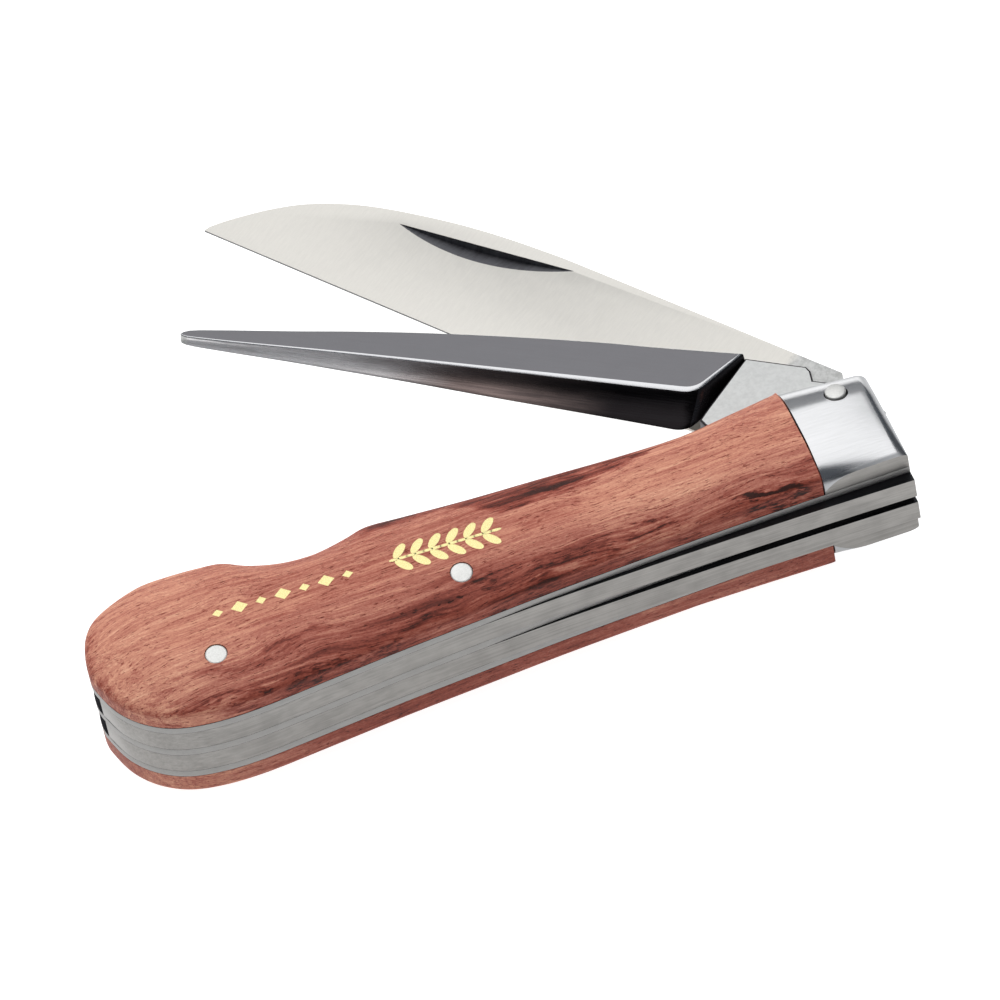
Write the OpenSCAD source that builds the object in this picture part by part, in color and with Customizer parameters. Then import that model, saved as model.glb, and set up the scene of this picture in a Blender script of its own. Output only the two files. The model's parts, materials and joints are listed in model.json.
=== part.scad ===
// Folding two-tool pocket knife: a blade and a reamer on one pivot, in a three-liner
// handle with wooden scales, bolsters and two back springs. Both tools stand half open.
// Frame: +X from the butt to the head, -Y the spine (spring) side, +Z up, millimetres.
// Z = 0 is the flat along the crown of the lower scale, and X = 0 is the handle's middle.

/* [Handle] */
// Length of the handle from butt to head
handle_l = 110; // [106:1:114]
// Thickness of a scale or bolster at its crown
scale_t = 4.8; // [4.2:0.1:5.6]
// Height of the square side of a scale, under its crown
side_t = 2.4; // [1.8:0.1:2.6]
// Extra height of the spine side where the scale meets the bolster
side_rise = 0.9; // [0:0.1:1.2]
// Share of the half width that stays flat on top of the crown
crown_flat = 0.2; // [0.1:0.05:0.4]
// Length of the metal bolsters, back from the head
bolster_l = 11.9; // [10:0.1:13]

/* [Liners and springs] */
// Thickness of each outer liner
liner_t = 1.05; // [0.8:0.05:1.3]
// Thickness of the liner between the two tools
centre_liner_t = 1.1; // [0.8:0.05:1.4]
// Thickness of each back spring, and of the slot beside it
spring_t = 3.1; // [2.8:0.1:3.4]
// Distance that the springs stand out of the spine at the head
spring_lift = 1.6; // [1:0.1:2]

/* [Tools] */
// Gap on each face of a tool in its slot
tool_gap = 0.05; // [0.03:0.01:0.08]
// Direction of the blade at rest, up from the handle's long axis
blade_rest = 54.7; // [10:0.1:120]
// Direction of the reamer at rest, up from the handle's long axis
reamer_rest = 36.5; // [5:0.1:120]
// Thickness of the blade at its cutting edge
edge_t = 0.3; // [0.2:0.05:0.5]
// Radius of the wheel that cuts the nail nick
nick_wheel_r = 89; // [85:1:95]

/* [Pins] */
// Radius of the pivot pin
pivot_r = 1.4; // [1.2:0.05:1.6]
// Radius of the butt and middle rivets
rivet_r = 1.45; // [1.2:0.05:1.6]
// Radius of the hidden pins that hold the bolsters to their liners
bolster_pin_r = 0.8; // [0.6:0.05:1]
// Radial gap between a pin and its bore
pin_gap = 0.05; // [0.02:0.01:0.08]

/* [Hidden] */
$fn = 96;
over = 1;                                  // how far a cutter runs past a face

// Layers of the handle, from the lowest up
z_lower_liner = scale_t;
z_blade_slot = z_lower_liner + liner_t;
z_centre_liner = z_blade_slot + spring_t;
z_reamer_slot = z_centre_liner + centre_liner_t;
z_upper_liner = z_reamer_slot + spring_t;
z_upper_scale = z_upper_liner + liner_t;
total_t = z_upper_scale + scale_t;
tool_t = spring_t - 2 * tool_gap;

// Places along the handle
x_head = handle_l / 2;
x_joint = x_head - bolster_l;              // where the wood meets the bolster
stretch = x_joint / 43.1;                  // fits the outline below to handle_l and bolster_l
pivot = [x_head - 5.1, 4.1];
middle_rivet_at = [-5.3 * stretch, -4.1];
butt_rivet_at = [-39 * stretch, -3.4];
bolster_pins_at = [[x_head - 9, -5.6], [x_head - 3.4, -5.6]];

// Handle outline at the liners: along the spine, round the butt, back along the front
SPINE = [[43.1, -8.6], [30, -8.5], [17, -8.6], [5, -8.8], [-5.2, -9.2], [-17, -9.7],
         [-28, -10.4], [-37, -10.9], [-43, -10.5], [-47.5, -9.2], [-51, -6.6],
         [-53.4, -3.1], [-54.7, 1]];
FRONT = [[-55, 3.4], [-54.5, 6.6], [-53.5, 9.5], [-51.7, 11.8], [-48.5, 13.6], [-44.3, 14.9],
         [-40, 14.9], [-36, 14.5], [-33.2, 13.9], [-30.6, 12.2], [-28, 11], [-25.2, 10.2],
         [-22, 9.9], [-19.4, 10.2], [-16.7, 10.8], [-13.8, 11.5], [-9, 11], [0, 10],
         [10, 9.2], [20, 8.3], [29, 7.9], [36, 8.7], [43.1, 9.6]];
HEAD_FRONT_Y = 8.1;
HEAD_SPINE_Y = -8.8;

// Inner edge of a spring from the head to the butt: it runs clear of both rivets
spring_face_y = -4.05;                     // flat that the tangs bear on
SPRING_INNER = [[42, -4.05], [30, -3.5], [14, -2], [2, -0.7], [-5.2, -0.4], [-13, -1],
                [-25, -1.3], [-33, -0.1], [-38.8, 0.6], [-46, 0.4]];

// Blade in its own plane: x runs from the pivot to the tip, y towards the back
TANG_FLAT = 7;                             // distance of the tang's flats from the pivot
TANG_END = 5.25;                           // distance of the tang's end from the pivot
STOP_X = 5.8;                              // stop shoulder, which meets the spring's end
BLADE_EDGE_Y = -7.45;
BLADE_BACK_Y = 10.5;
BLADE_BACK = [[48, 10.5], [57, 10.3], [64, 9.85], [70, 9.15], [76, 8.1], [82, 6.75], [87, 5.1],
              [92, 2.65], [96, -0.35], [99.5, -3.8], [101.6, -6.3], [102.1, BLADE_EDGE_Y]];
BLADE_HEEL = [[24, BLADE_EDGE_Y], [21, -6.7], [12, -6.4], [9, -TANG_FLAT]];   // relief by the tang
grind_start = 13;                          // where the ground faces begin
nick_from = [52.6, 8.6];                   // ends of the nail nick's straight side
nick_to = [77.8, 5.3];
nick_w = 3;
nick_tilt = 18;

// Reamer sections: distance from the pivot, far side, near side on top, near side below
REAMER = [[28, 9, 1.8, -2.6], [36, 8.6, 1.6, -2.3], [48, 7.6, 1.3, -1.9], [60, 6.3, 1, -1.4],
          [70, 4.9, 0.7, -1.1], [78, 3.6, 0.4, -0.9], [86, 2.4, 0.1, -0.8],
          [91, 1.6, 0, -0.7], [93.5, 0.7, 0, -0.3]];
reamer_tip_t = 1;                          // thickness at the tip
tang_relief = 0.5;                         // how far the reamer's tang lies below its face
tang_boss_r = 3.4;                         // full-thickness ring round the pivot
// Slanted shoulder before them, in two sections: far, near on top, near below
SHOULDER = [[[15.2, 9.4], [18, -1], [18.6, -2.6]], [[16.4, 9.8], [20.6, 2], [20.8, -2.9]]];
grind_arcs = 5;                            // steps across a hollow-ground side
grind_depth = 0.55;                        // depth of the hollow at the widest section

// Curve through a list of points, with the given number of steps between two of them
function at(p, i) = p[max(0, min(len(p) - 1, i))];
function blend_at(a, b, c, d, t) =
    0.5 * (2 * b + (c - a) * t + (2 * a - 5 * b + 4 * c - d) * t * t
           + (3 * b - a - 3 * c + d) * t * t * t);
function curve(p, steps) = concat(
    [for (i = [0 : len(p) - 2], k = [0 : steps - 1])
        blend_at(at(p, i - 1), p[i], p[i + 1], at(p, i + 2), k / steps)],
    [p[len(p) - 1]]);
function lerp(a, b, t) = a + (b - a) * t;
function stretched(p) = [for (q = p) [q.x * stretch, q.y]];
function raised(x) = spring_lift * max(0, (x - middle_rivet_at.x) / (x_head - middle_rivet_at.x));

wood_edge = curve(stretched(concat(SPINE, FRONT)), 3);
handle_edge = concat(wood_edge, [[x_head, HEAD_FRONT_Y], [x_head, HEAD_SPINE_Y]]);

// Crown: middle line of the handle, and the height at a share v of the half width
crown_end = -42 * stretch;
rise_from = 24 * stretch;                  // where the spine side of a scale starts to rise
function middle_y(x) = 0.5 - 0.04 * min(x, 0);
function middle_of(p) = let (x = max(crown_end, p.x)) [x, middle_y(x)];
function fall(v) = pow(max(0, (v - crown_flat) / (1 - crown_flat)), 2);
CROWN_STEPS = 7;

module handle_plate(t) linear_extrude(t) polygon(handle_edge);

module bore(at_xy, r) translate([at_xy.x, at_xy.y, -over]) cylinder(r = r, h = total_t + 2 * over);

module rivet_bores() {
    bore(middle_rivet_at, rivet_r + pin_gap);
    bore(butt_rivet_at, rivet_r + pin_gap);
}

module pivot_bore() bore(pivot, pivot_r + pin_gap);

// Lays a lower part over as its upper twin
module upper() translate([0, 0, total_t]) mirror([0, 0, 1]) children();

// Solid through rings of points: the first ring lies on the liner, the last is the crown
module ringed(rings) {
    n = len(rings[0]);
    m = len(rings);
    polyhedron(
        points = [for (ring = rings) each ring],
        faces = concat(
            [[for (i = [0 : n - 1]) i]],
            [for (k = [0 : m - 2], i = [0 : n - 1]) let (j = (i + 1) % n)
                each [[k * n + i, (k + 1) * n + i, (k + 1) * n + j],
                      [k * n + i, (k + 1) * n + j, k * n + j]]],
            [[for (i = [n - 1 : -1 : 0]) (m - 1) * n + i]]));
}

// Wooden scale, crowned down to Z = 0 from the liner above it
function scale_side(p) =
    side_t + (p.y > 0 ? 0 : side_rise * max(0, (p.x - rise_from) / (x_joint - rise_from)));
function scale_ring(v) = [for (p = wood_edge) let (q = lerp(middle_of(p), p, v))
    [q.x, q.y, (scale_t - scale_side(p)) * fall(v)]];
module scale_body() {
    flat_ring = [for (p = wood_edge) [p.x, p.y, z_lower_liner]];
    ringed(concat([flat_ring], [for (k = [0 : CROWN_STEPS])
        scale_ring(lerp(1, crown_flat, k / CROWN_STEPS))]));
}

// Bolster: the scale's section at the joint, falling away and rounded over at the head
head_round = 1.5;                          // length of the rounded end
head_side_t = 2.5;                         // height of the side at the head
head_drop = 0.9;                           // fall of the crown before the rounding
end_t = 2;                                 // height of the end face
function bolster_share(x) = (x - x_joint) / bolster_l;
function bolster_side(x) = lerp(side_t, head_side_t, bolster_share(x));
function bolster_crown(x) = scale_t - head_drop * pow(bolster_share(x), 2);
function rounding(x) = sqrt(max(0, 1 - pow(max(0, x - x_head + head_round) / head_round, 2)));
function bolster_h(x, v) =
    lerp(end_t, lerp(bolster_crown(x), bolster_side(x), fall(abs(v))), rounding(x));
function bolster_y(x, v) = let (t = bolster_share(x), mid = middle_y(x))
    v < 0 ? lerp(mid, lerp(wood_edge[0].y, HEAD_SPINE_Y, t), -v)
          : lerp(mid, lerp(FRONT[len(FRONT) - 1].y, HEAD_FRONT_Y, t), v);
BOLSTER_X = concat([for (k = [0 : 4]) lerp(x_joint, x_head - head_round, k / 4)],
                   [for (a = [20 : 17.5 : 90]) x_head - head_round + head_round * sin(a)]);
BOLSTER_V = [for (k = [-CROWN_STEPS : CROWN_STEPS]) k / CROWN_STEPS];
function bolster_ring(x) = concat(
    [[x, bolster_y(x, -1), z_lower_liner]],
    [for (v = BOLSTER_V) [x, bolster_y(x, v), z_lower_liner - bolster_h(x, v)]],
    [[x, bolster_y(x, 1), z_lower_liner]]);
module bolster_body() ringed([for (x = BOLSTER_X) bolster_ring(x)]);

module lower_scale() color([0.62, 0.34, 0.26]) difference() {
    scale_body();
    rivet_bores();
}

module upper_scale() upper() lower_scale();

module lower_bolster() color([0.78, 0.8, 0.83]) difference() {
    bolster_body();
    pivot_bore();
    for (p = bolster_pins_at) bolster_pin_hole(p);
}

module upper_bolster() upper() lower_bolster();

// Hidden pins: from the liner's inner face into blind holes in the bolster
bolster_pin_l = liner_t + 1;
module bolster_pin_hole(p) translate([p.x, p.y, z_blade_slot - bolster_pin_l])
    cylinder(r = bolster_pin_r, h = bolster_pin_l + over);
module lower_bolster_pins() color([0.8, 0.8, 0.78])
    for (p = bolster_pins_at) translate([p.x, p.y, z_blade_slot - bolster_pin_l])
        cylinder(r = bolster_pin_r, h = bolster_pin_l);

module upper_bolster_pins() upper() lower_bolster_pins();

module lower_liner() color([0.66, 0.66, 0.65]) difference() {
    translate([0, 0, z_lower_liner]) handle_plate(liner_t);
    rivet_bores();
    pivot_bore();
    for (p = bolster_pins_at) bolster_pin_hole(p);
}

module upper_liner() upper() lower_liner();

module centre_liner() color([0.6, 0.6, 0.6]) difference() {
    translate([0, 0, z_centre_liner]) handle_plate(centre_liner_t);
    rivet_bores();
    pivot_bore();
}

// Back spring: flush with the liners up to the middle rivet, then lifted by the tangs
module backspring(z) color([0.6, 0.6, 0.59]) difference() {
    translate([0, 0, z]) linear_extrude(spring_t) polygon(concat(
        [[x_head, spring_face_y], [x_head, HEAD_SPINE_Y - spring_lift]],
        [for (p = curve(stretched(SPINE), 3)) [p.x, p.y - raised(p.x)]],
        [for (q = curve([for (i = [len(SPRING_INNER) - 1 : -1 : 0])
            stretched(SPRING_INNER)[i]], 3)) q]));
    rivet_bores();
}

module blade_backspring() backspring(z_blade_slot);
module reamer_backspring() backspring(z_reamer_slot);

// Pins: the pivot pin has a low dome on each bolster, and the rivets are filed flush
dome_h = 0.45;
pivot_share = (pivot.y - middle_y(pivot.x))
    / (lerp(FRONT[len(FRONT) - 1].y, HEAD_FRONT_Y, bolster_share(pivot.x)) - middle_y(pivot.x));
pivot_low_z = z_lower_liner - bolster_h(pivot.x, pivot_share);
dome_r = (pivot_r * pivot_r + dome_h * dome_h) / (2 * dome_h);
module dome() intersection() {
    translate([0, 0, dome_r - dome_h]) sphere(r = dome_r);
    translate([0, 0, -dome_h]) cylinder(r = pivot_r, h = 2 * dome_h);
}
module pivot_pin() color([0.85, 0.85, 0.84]) translate([pivot.x, pivot.y, 0]) {
    translate([0, 0, pivot_low_z]) cylinder(r = pivot_r, h = total_t - 2 * pivot_low_z);
    translate([0, 0, pivot_low_z]) dome();
    translate([0, 0, total_t - pivot_low_z]) mirror([0, 0, 1]) dome();
}

// A rivet's ends follow the slope of the crown at its place, between it and the spine
rivet_sink = 0.08;                         // how far its ends lie below the wood
rivet_cut = 10;                            // size of the block that cuts an end
module rivet(p, spine_y) {
    half_w = middle_y(p.x) - spine_y;
    share = (middle_y(p.x) - p.y) / half_w;
    low_z = (scale_t - side_t) * fall(share) + rivet_sink;
    slope = 2 * (scale_t - side_t) * sqrt(fall(share)) / (1 - crown_flat) / half_w;
    color([0.86, 0.86, 0.84]) translate([p.x, p.y, 0]) difference() {
        cylinder(r = rivet_r, h = total_t);
        for (end = [0, 1]) translate([0, 0, end * total_t]) mirror([0, 0, end])
            translate([0, 0, low_z]) rotate([-atan(slope), 0, 0])
                translate([-rivet_cut, -rivet_cut, -rivet_cut]) cube([2, 2, 1] * rivet_cut);
    }
}
module middle_rivet() rivet(middle_rivet_at, SPINE[4].y);
module butt_rivet() rivet(butt_rivet_at, SPINE[7].y);

// Turns a tool from its own plane to its rest direction at the pivot
module at_pivot(rest) translate([pivot.x, pivot.y, 0]) rotate([0, 0, 180 - rest])
    mirror([0, 1, 0]) children();

// Tang outline on the side of the pivot: flat for the spring, end, flat for open
tang_end = concat(
    [[STOP_X, -TANG_FLAT], [-3.4, -TANG_FLAT], [-4.5, -6.6], [-5.1, -5.6]],
    [[-TANG_END, -4.4], [-TANG_END, 0.5], [-5.4, 2.6], [-5.3, 3.2], [-4.7, 3.6], [-3.7, 4.1]],
    [[-2.4, 5.1], [-1.2, 6.4], [0, TANG_FLAT]]);

// Blade: flat ground from the back to the edge on both faces, with a nail nick on top
grind_angle = atan((tool_t - edge_t) / 2 / (BLADE_BACK_Y - BLADE_EDGE_Y));
module blade_plan() polygon(concat(
    tang_end,
    [[STOP_X, TANG_FLAT], [STOP_X + 0.6, 9.4], [STOP_X + 1.6, BLADE_BACK_Y]],
    curve(BLADE_BACK, 3),
    BLADE_HEEL));
module grind() translate([grind_start, BLADE_BACK_Y, tool_t]) rotate([grind_angle, 0, 0])
    translate([0, -handle_l / 2, 0]) cube([handle_l, handle_l, tool_t]);
module nail_nick() {
    along = nick_to - nick_from;
    depth = nick_w * tan(nick_tilt);
    drop = (BLADE_BACK_Y - (nick_from.y + nick_to.y) / 2) * tan(grind_angle);
    translate([nick_from.x, nick_from.y, tool_t - drop - depth]) rotate([0, 0, atan2(along.y, along.x)])
        translate([norm(along) / 2, 0, 0]) rotate([-nick_tilt, 0, 0]) rotate([90, 0, 0])
            translate([0, nick_wheel_r, 0]) cylinder(r = nick_wheel_r, h = nick_w * 2, $fn = 360);
}
module blade() color([0.87, 0.86, 0.83]) at_pivot(blade_rest) difference() {
    translate([0, 0, z_blade_slot + tool_gap]) difference() {
        linear_extrude(tool_t) blade_plan();
        grind();
        translate([0, 0, tool_t]) mirror([0, 0, 1]) grind();
        nail_nick();
    }
    cylinder(r = pivot_r + pin_gap, h = total_t);
}

// Reamer: a long taper with a flat top and a hollow-ground near side
reamer_l = REAMER[len(REAMER) - 1][0];
reamer_start = 16;                         // where its underside starts to rise
function reamer_low(x) =
    lerp(0, tool_t - reamer_tip_t, (x - reamer_start) / (reamer_l - reamer_start));
function reamer_section(far, near_top, near_low) = concat(
    [far, near_top],
    [for (k = [1 : grind_arcs - 1]) let (t = k / grind_arcs, d = near_top.y - near_low.y)
        lerp(near_top, near_low, t)
        + [0, grind_depth * 4 * t * (1 - t) * min(1, d / 4 + 0.15), 0]],
    [near_low, [far.x, far.y - 0.3 * (far.z - near_low.z), near_low.z]]);
function shoulder_section(s, top, low) =
    reamer_section([s[0].x, s[0].y, top], [s[1].x, s[1].y, top], [s[2].x, s[2].y, low]);
REAMER_RINGS = concat(
    [shoulder_section(SHOULDER[0], tool_t - tang_relief, 0),
     shoulder_section(SHOULDER[1], tool_t, reamer_low(SHOULDER[1][1].x))],
    [for (q = REAMER)
        reamer_section([q[0], q[1], tool_t], [q[0], q[2], tool_t], [q[0], q[3], reamer_low(q[0])])]);
module reamer_tang() linear_extrude(tool_t - tang_relief) polygon(concat(
    tang_end,
    [[STOP_X, TANG_FLAT], [6.6, 8.6], [7.4, 9.3], [16, 9.4], [18.5, -1], [18.8, -2.6],
     [17.8, -3.4], [10, -6.4]]));
module reamer() color([0.55, 0.56, 0.58]) at_pivot(reamer_rest) difference() {
    translate([0, 0, z_reamer_slot + tool_gap]) union() {
        reamer_tang();
        cylinder(r = tang_boss_r, h = tool_t);
        ringed(REAMER_RINGS);
    }
    cylinder(r = pivot_r + pin_gap, h = total_t);
}

upper_scale();
lower_scale();
upper_bolster();
lower_bolster();
upper_bolster_pins();
lower_bolster_pins();
upper_liner();
centre_liner();
lower_liner();
reamer_backspring();
blade_backspring();
pivot_pin();
middle_rivet();
butt_rivet();
blade();
reamer();
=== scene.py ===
"""Looks of a folding two-tool pocket knife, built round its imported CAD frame.

Every length in the named values is in millimetres. A mesh is made in the row frame and
scaled to metres when it becomes an object.
"""

import json
import math

import bmesh
import bpy
import numpy as np
from mathutils import Matrix, Vector


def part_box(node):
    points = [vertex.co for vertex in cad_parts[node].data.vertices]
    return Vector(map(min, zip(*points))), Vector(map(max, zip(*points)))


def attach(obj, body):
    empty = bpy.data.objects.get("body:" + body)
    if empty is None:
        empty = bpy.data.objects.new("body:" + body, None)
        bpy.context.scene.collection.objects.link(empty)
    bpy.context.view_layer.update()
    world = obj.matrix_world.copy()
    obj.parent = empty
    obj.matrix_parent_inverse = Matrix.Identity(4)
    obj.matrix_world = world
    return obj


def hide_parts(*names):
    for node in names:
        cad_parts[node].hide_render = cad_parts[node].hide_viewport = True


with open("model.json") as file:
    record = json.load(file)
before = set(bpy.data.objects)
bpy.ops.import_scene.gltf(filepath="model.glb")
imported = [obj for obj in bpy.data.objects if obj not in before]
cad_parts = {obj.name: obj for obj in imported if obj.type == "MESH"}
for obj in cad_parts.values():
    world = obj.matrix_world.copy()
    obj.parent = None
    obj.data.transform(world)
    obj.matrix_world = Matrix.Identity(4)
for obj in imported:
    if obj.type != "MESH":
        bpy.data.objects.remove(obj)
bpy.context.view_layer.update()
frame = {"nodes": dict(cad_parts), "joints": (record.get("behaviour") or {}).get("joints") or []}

MM = 0.001


def layer(node):
    """Lowest and highest z of a CAD node, in millimetres."""
    low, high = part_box(node)
    return low.z / MM, high.z / MM


# Layers and places, from the frame
LOW_LINER = layer("lower_liner")
MID_LINER = layer("centre_liner")
TOP_LINER = layer("upper_liner")
BLADE_SPRING = layer("blade_backspring")
REAMER_SPRING = layer("reamer_backspring")
TOTAL_T = layer("upper_scale")[1]
SCALE_T = LOW_LINER[0]
X_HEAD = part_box("lower_liner")[1].x / MM
X_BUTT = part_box("lower_liner")[0].x / MM
X_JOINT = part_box("lower_scale")[1].x / MM
PIVOT = np.array(frame["joints"][0]["pos_m"][:2]) / MM

# Crown of the handle: the sides are SIDE_T high and the middle share is flat
SIDE_T = 2.4
LOWER_FULLER = 0.6   # how much higher the lower scale's side is than the upper one's
SIDE_RISE = 0.9      # extra height of a scale's spine side at the bolster
RISE_FROM = 24       # x where that rise starts
CROWN_FLAT = 0.2
CROWN_END = -42      # x beyond which the crown falls round the butt
MIDDLE_Y = 0.5       # the crown's middle line, which leans to the front on the butt's half
MIDDLE_LEAN = 0.04
OUTLINE_STEP = 1.8   # spacing of the outlines that are taken over from the CAD
PLATE_ROUND = 0.03   # rounding along a liner's or a spring's edges
SCALE_BORE_R = 1.53
PLATE_BORE_R = 1.5
SKIN = 0.03          # how far the wood lies under the CAD crown, to leave room for the foil
ROUND_SIDE = 0.7     # how far down the side its rounding starts
ROUND_TOP = 1.2      # how far in on the crown the rounding ends

# Tools: their rest directions above the handle's long axis, and their thickness
BLADE_REST = math.radians(54.7)
REAMER_REST = math.radians(36.5)
TOOL_T = layer("blade")[1] - layer("blade")[0]
EDGE_T = 0.3


# ---------------------------------------------------------------- points and outlines

SHARP_TURN = 40

def lerp(a, b, t):
    return a + (b - a) * t


def rims(node, z):
    """Closed outlines of a CAD node's flat face at height z, the longest one first."""
    mesh = frame["nodes"][node].data
    points = np.array([v.co for v in mesh.vertices]) / MM
    keys = [tuple(np.round(p, 3)) for p in points]
    edges = {}
    for polygon in mesh.polygons:
        corners = [keys[i] for i in polygon.vertices]
        if max(abs(c[2] - z) for c in corners) < 0.002:
            for a, b in zip(corners, corners[1:] + corners[:1]):
                if (b, a) in edges:
                    del edges[(b, a)]
                else:
                    edges[(a, b)] = True
    following = dict(edges.keys())
    loops = []
    while following:
        start, at = following.popitem()
        loop = [start]
        while at != start:
            loop.append(at)
            at = following.pop(at)
        loops.append(np.array(loop)[:, :2])
    return sorted(loops, key=lambda p: -np.ptp(p, axis=0).sum())


def curve(points, steps, closed=False):
    """Smooth line through the points, which keeps the corners that turn over SHARP_TURN degrees."""
    p = np.array(points, float)
    n = len(p)
    made = []
    for i in range(n if closed else n - 1):
        a, b, c, d = (p[j % n] if closed else p[min(max(j, 0), n - 1)] for j in range(i - 1, i + 3))
        if turn(a, b, c) > SHARP_TURN:
            a = b
        if turn(b, c, d) > SHARP_TURN:
            d = c
        for t in np.arange(steps) / steps:
            made.append(0.5 * (2 * b + (c - a) * t + (2 * a - 5 * b + 4 * c - d) * t ** 2
                               + (3 * b - a - 3 * c + d) * t ** 3))
    return np.array(made if closed else made + [p[-1]])


def turn(a, b, c):
    """Degrees that the line a, b, c turns at b."""
    u, v = (b - a)[:2], (c - b)[:2]
    size = np.linalg.norm(u) * np.linalg.norm(v)
    return math.degrees(math.acos(np.clip(u @ v / size, -1, 1))) if size > 1e-12 else 0.0


def even(points, step):
    """The same closed outline with its straight stretches split to about the given step."""
    p = np.array(points, float)
    made = []
    for a, b in zip(p, np.roll(p, -1, axis=0)):
        parts = max(1, round(np.linalg.norm(b - a) / step))
        made += [lerp(a, b, k / parts) for k in range(parts)]
    return np.array(made)


def inset(loop, by):
    """The closed outline moved inwards by a small distance, or by one for each point."""
    before, after = np.roll(loop, 1, axis=0), np.roll(loop, -1, axis=0)
    side = []
    for a, b in ((before, loop), (loop, after)):
        d = b - a
        d /= np.maximum(np.linalg.norm(d, axis=1), 1e-9)[:, None]
        side.append(np.column_stack([-d[:, 1], d[:, 0]]))
    lean = side[0] + side[1]
    lean /= np.maximum(1 + (side[0] * side[1]).sum(1), 0.4)[:, None]
    return loop + lean * np.reshape(by, (-1, 1)) * np.sign(area(loop))


def area(loop):
    x, y = loop[:, 0], loop[:, 1]
    return 0.5 * float(x @ np.roll(y, -1) - y @ np.roll(x, -1))


def at_height(loop, z):
    z = np.broadcast_to(z, (len(loop),))
    return np.column_stack([loop, z])


def from_tool(points, rest):
    """Points of a tool's own plane, where x runs from the pivot to the tip, in the row frame."""
    p = np.array(points, float)
    along = np.array([-math.cos(rest), math.sin(rest)])
    across = np.array([math.sin(rest), math.cos(rest)])
    flat = PIVOT + p[:, :1] * along + p[:, 1:2] * across
    return np.column_stack([flat, p[:, 2]])


# ---------------------------------------------------------------- mesh objects

SMOOTH = 35                  # degrees between two faces up to which they are shaded as one
RIM_CAP = 0.05               # how far in of its rounding a plate's flat face starts
DRILL_REACH = (-1.0, 30.0)   # heights between which a drill cuts

def piece(name, rings, materials=(), tint=None, cap_tints=(0, 0), smooth=SMOOTH):
    """Object skinned over rings of points, with flat caps, in metres.
    tint(k, i) is the material of the face after point i, between ring k and the next."""
    bm = bmesh.new()
    rows = [[bm.verts.new(Vector(p) * MM) for p in ring] for ring in rings]
    n = len(rows[0])
    for k, (low, high) in enumerate(zip(rows, rows[1:])):
        for i in range(n):
            j = (i + 1) % n
            face = bm.faces.new((low[i], low[j], high[j], high[i]))
            face.material_index = tint(k, i) if tint else 0
    for row, index in ((rows[0][::-1], cap_tints[0]), (rows[-1], cap_tints[1])):
        bm.faces.new(row).material_index = index
    made = finished(name, bm, smooth)
    for material in materials:
        made.data.materials.append(material)
    return made


def finished(name, bm, smooth):
    bmesh.ops.remove_doubles(bm, verts=bm.verts, dist=1e-7)
    bmesh.ops.dissolve_degenerate(bm, edges=bm.edges, dist=1e-8)
    bmesh.ops.recalc_face_normals(bm, faces=bm.faces)
    mesh = bpy.data.meshes.new(name)
    bm.to_mesh(mesh)
    bm.free()
    made = bpy.data.objects.new(name, mesh)
    bpy.context.scene.collection.objects.link(made)
    shade(made, smooth)
    return made


def shade(made, smooth):
    made.data.shade_smooth()
    made.data.set_sharp_from_angle(angle=math.radians(smooth))


def round_rings(loop, low, high, r, steps=3):
    """Rings of a plate with rounded rims: low and high are numbers, or arrays along the loop."""
    rings = [at_height(inset(loop, r + RIM_CAP), low)]
    for k in range(steps + 1):
        a = math.pi / 2 * k / steps
        rings.append(at_height(inset(loop, r * (1 - math.sin(a))), low + r * (1 - math.cos(a))))
    for k in range(steps, -1, -1):
        a = math.pi / 2 * k / steps
        rings.append(at_height(inset(loop, r * (1 - math.sin(a))), high - r * (1 - math.cos(a))))
    rings.append(at_height(inset(loop, r + RIM_CAP), high))
    return rings


def circle(centre, r, count=64):
    a = np.arange(count) * 2 * math.pi / count
    return np.array(centre)[:2] + r * np.column_stack([np.cos(a), np.sin(a)])


def cut(made, *cutters, smooth=SMOOTH):
    """Cuts closed objects out of a piece and removes them."""
    for cutter in cutters:
        boolean = made.modifiers.new("cut", "BOOLEAN")
        boolean.operation = "DIFFERENCE"
        boolean.solver = "EXACT"
        boolean.object = cutter
    bake(made)
    for cutter in cutters:
        bpy.data.objects.remove(cutter)
    shade(made, smooth)


def bake(made):
    """Applies a piece's modifiers to its mesh."""
    bpy.context.view_layer.update()
    graph = bpy.context.evaluated_depsgraph_get()
    mesh = bpy.data.meshes.new_from_object(made.evaluated_get(graph))
    made.modifiers.clear()
    made.data = mesh


def drill(centre, r):
    """Closed cylinder that cuts a bore through the whole handle."""
    return piece("drill", [at_height(circle(centre, r), z) for z in DRILL_REACH])


def turned_over(rings):
    """Rings of the upper twin of a lower part."""
    return [np.column_stack([ring[:, :2], TOTAL_T - ring[:, 2]]) for ring in rings]


def paint(made, materials, choose):
    """Gives a piece its materials. choose(centre, normal) says which one a face takes."""
    made.data.materials.clear()
    for material in materials:
        made.data.materials.append(material)
    for polygon in made.data.polygons:
        polygon.material_index = choose(polygon.center / MM, polygon.normal)


def settle(made, body, slot, *nodes):
    """The piece rides on its body and stands for its CAD nodes; its slot is not used."""
    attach(made, body)
    if nodes:
        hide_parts(*nodes)


# ---------------------------------------------------------------- materials

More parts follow.
